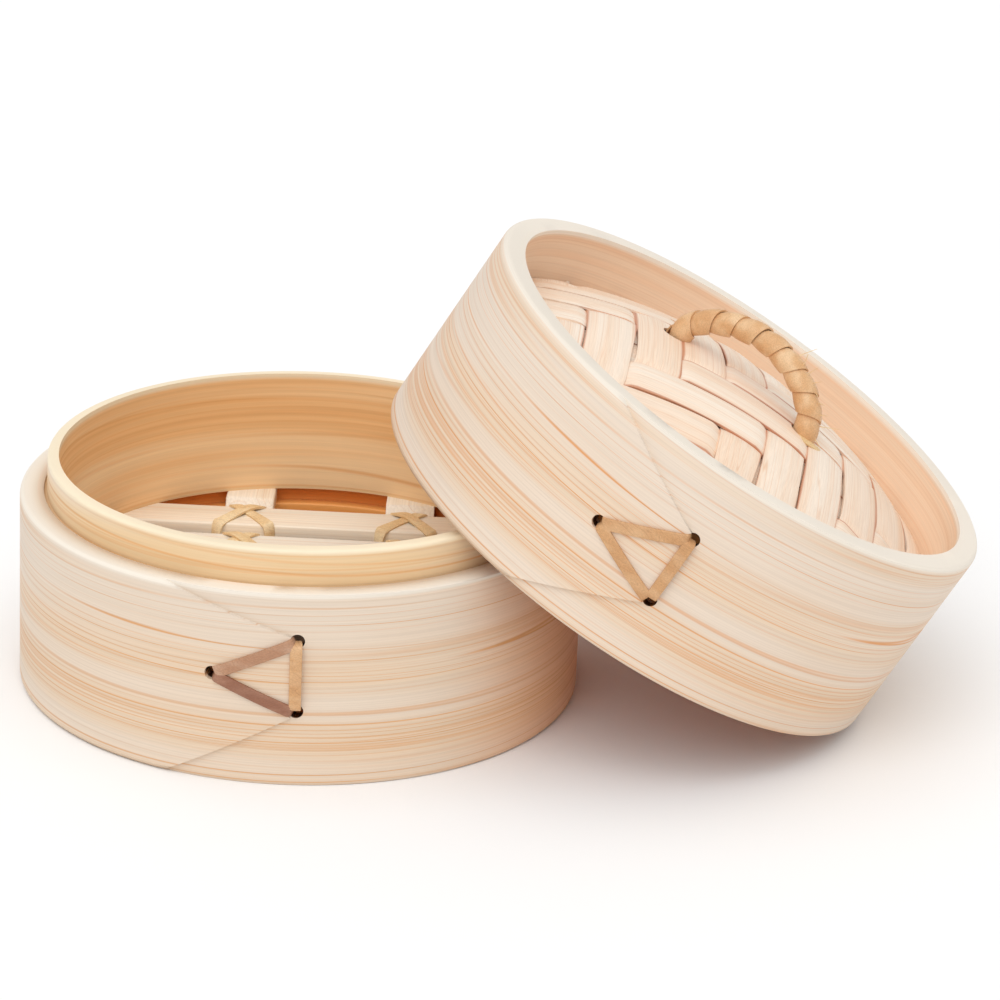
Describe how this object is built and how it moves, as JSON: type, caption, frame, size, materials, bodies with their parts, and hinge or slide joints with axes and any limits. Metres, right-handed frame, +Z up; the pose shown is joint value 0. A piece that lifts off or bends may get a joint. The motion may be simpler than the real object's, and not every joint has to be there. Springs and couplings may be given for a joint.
{
  "type": "steamer basket",
  "caption": "Small round bamboo steamer basket with a slatted grate and a stacking collar, and its woven domed lid with a bound loop handle leaning on it",
  "frame": {"origin": "centre of the basket's open bottom, on the plane it stands on; the socket for a lower tier opens there", "axes": "+Z up along the basket's axis, +X the way the lid leans, so the lid moves in the XZ plane"},
  "size_m": [0.1696, 0.1006, 0.083],
  "materials": {
    "hoop_bamboo": "satin",
    "collar_bamboo": "satin",
    "liner_bamboo": "satin",
    "grate_bamboo": "satin",
    "lacing_rattan": "matte",
    "leaf_lining": "matte",
    "weave_bamboo": "satin",
    "handle_rattan": "satin",
    "peg_bamboo": "satin"
  },
  "bodies": {
    "basket": {"basket_outer_hoop": "hoop_bamboo", "basket_collar": "collar_bamboo", "grate_seat_ring": "liner_bamboo", "grate_slat_1": "grate_bamboo", "grate_slat_2": "grate_bamboo", "grate_slat_3": "grate_bamboo", "grate_slat_4": "grate_bamboo", "grate_slat_5": "grate_bamboo", "grate_cross_bar_1": "grate_bamboo", "grate_cross_bar_2": "grate_bamboo", "grate_lashing_1": "lacing_rattan", "grate_lashing_2": "lacing_rattan", "basket_lacing": "lacing_rattan"},
    "lid_carrier": {"toggle_peg_back": "peg_bamboo"},
    "lid": {"lid_outer_hoop": "hoop_bamboo", "lid_liner": "liner_bamboo", "lid_lacing": "lacing_rattan", "lid_lining": "leaf_lining", "weave_across_01": "weave_bamboo", "weave_across_02": "weave_bamboo", "weave_across_03": "weave_bamboo", "weave_across_04": "weave_bamboo", "weave_across_05": "weave_bamboo", "weave_across_06": "weave_bamboo", "weave_across_07": "weave_bamboo", "weave_across_08": "weave_bamboo", "weave_across_09": "weave_bamboo", "weave_across_10": "weave_bamboo", "weave_across_11": "weave_bamboo", "weave_along_01": "weave_bamboo", "weave_along_02": "weave_bamboo", "weave_along_03": "weave_bamboo", "weave_along_04": "weave_bamboo", "weave_along_05": "weave_bamboo", "weave_along_06": "weave_bamboo", "weave_along_07": "weave_bamboo", "weave_along_08": "weave_bamboo", "weave_along_09": "weave_bamboo", "weave_along_10": "weave_bamboo", "weave_along_11": "weave_bamboo", "handle_cane": "handle_rattan", "handle_binding": "handle_rattan", "toggle_peg_front": "peg_bamboo"}
  },
  "joints": [
    {"name": "lid_swing", "type": "hinge", "parent": "basket", "child": "lid_carrier", "pos_m": [0.02428, 0, 0.06523], "axis": [0, -1, 0], "range_deg": [0, 182.86]},
    {"name": "lid_level", "type": "hinge", "parent": "lid_carrier", "child": "lid", "pos_m": [0.06235, 0.00622, 0.06065], "axis": [0, 1, 0], "range_deg": [0, 152.26]}
  ],
  "couplings": [
    {"joint": "lid_level", "follows": "lid_swing", "ratio": 0.83266}
  ]
}
